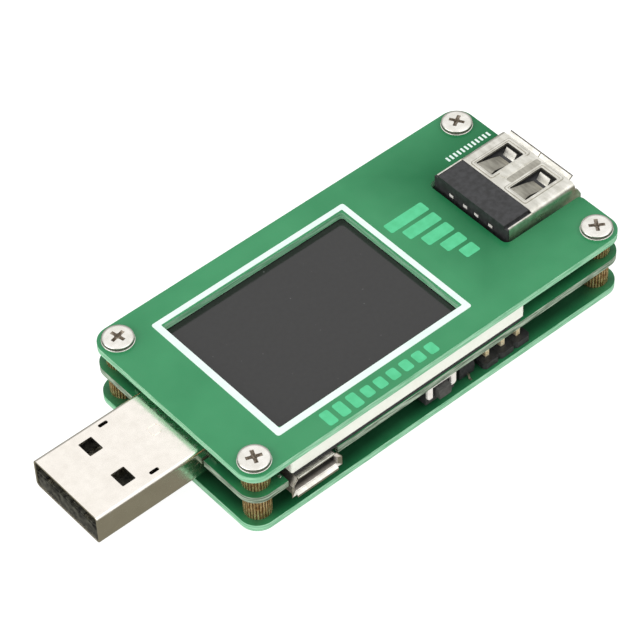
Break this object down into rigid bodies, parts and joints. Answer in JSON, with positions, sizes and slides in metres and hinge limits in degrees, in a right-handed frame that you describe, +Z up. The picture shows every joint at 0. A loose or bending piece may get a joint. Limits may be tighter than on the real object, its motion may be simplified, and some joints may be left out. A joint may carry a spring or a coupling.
{
  "type": "usb power meter",
  "caption": "Plug-through USB power meter: stacked circuit boards on brass standoffs, display in the top board, USB-A plug and socket at the ends, micro-USB socket and push switch at one side.",
  "frame": {"origin": "middle of the footprint, on the surface the bottom board rests on", "axes": "+X runs from the USB-A plug to the USB-A socket, +Z is up out of the display, and -Y is the side with the micro-USB socket and the push switch"},
  "size_m": [0.075, 0.031, 0.0121],
  "materials": {
    "board_green": "satin solder mask over glass-epoxy board",
    "nickel_screw": "bright nickel plate",
    "brass_standoff": "knurled, bare",
    "white_plastic": "satin",
    "display_glass": "smooth, dark, switched off",
    "clear_acrylic": "polished",
    "amber_film": "smooth film",
    "foam_tape": "matte foam",
    "nickel_shell": "nickel-plated sheet",
    "black_plastic": "fine moulded grain",
    "gold_contact": "gold plate",
    "grey_plastic": "fine moulded grain",
    "chip_epoxy": "moulded epoxy",
    "ceramic_resistor": "matte ceramic with dark glaze"
  },
  "bodies": {
    "meter": {"top_board": "board_green", "main_board": "board_green", "bottom_board": "board_green", "top_screw_1": "nickel_screw", "top_screw_2": "nickel_screw", "top_screw_3": "nickel_screw", "top_screw_4": "nickel_screw", "upper_standoff_1": "brass_standoff", "upper_standoff_2": "brass_standoff", "upper_standoff_3": "brass_standoff", "upper_standoff_4": "brass_standoff", "lower_standoff_1": "brass_standoff", "lower_standoff_2": "brass_standoff", "lower_standoff_3": "brass_standoff", "lower_standoff_4": "brass_standoff", "lcd_frame": "white_plastic", "lcd_glass": "display_glass", "lcd_light_guide": "clear_acrylic", "lcd_flex": "amber_film", "lcd_pad": "foam_tape", "plug_shell": "nickel_shell", "receptacle_shell": "nickel_shell", "micro_usb_shell": "nickel_shell", "button_frame": "nickel_shell", "button_dome": "nickel_shell", "crystal_can": "nickel_shell", "plug_insulator": "black_plastic", "receptacle_housing": "black_plastic", "micro_usb_insulator": "black_plastic", "button_body": "black_plastic", "header_base": "black_plastic", "plug_contact_1": "gold_contact", "plug_contact_2": "gold_contact", "plug_contact_3": "gold_contact", "plug_contact_4": "gold_contact", "receptacle_contact_1": "gold_contact", "receptacle_contact_2": "gold_contact", "receptacle_contact_3": "gold_contact", "receptacle_contact_4": "gold_contact", "micro_usb_contact_1": "gold_contact", "micro_usb_contact_2": "gold_contact", "micro_usb_contact_3": "gold_contact", "micro_usb_contact_4": "gold_contact", "micro_usb_contact_5": "gold_contact", "header_pin_1": "gold_contact", "header_pin_2": "gold_contact", "header_pin_3": "gold_contact", "button_base_contact": "gold_contact", "controller_chip": "chip_epoxy", "sense_chip": "chip_epoxy", "memory_chip": "chip_epoxy", "voltage_regulator": "chip_epoxy", "power_diode": "chip_epoxy", "shunt_resistor": "ceramic_resistor"},
    "button": {"button_plunger": "grey_plastic"}
  },
  "joints": [
    {"name": "button_press", "type": "slide", "parent": "meter", "child": "button", "axis": [0, 1, 0], "range_m": [0, 0.00025], "stiffness_N_per_m": 6000}
  ]
}
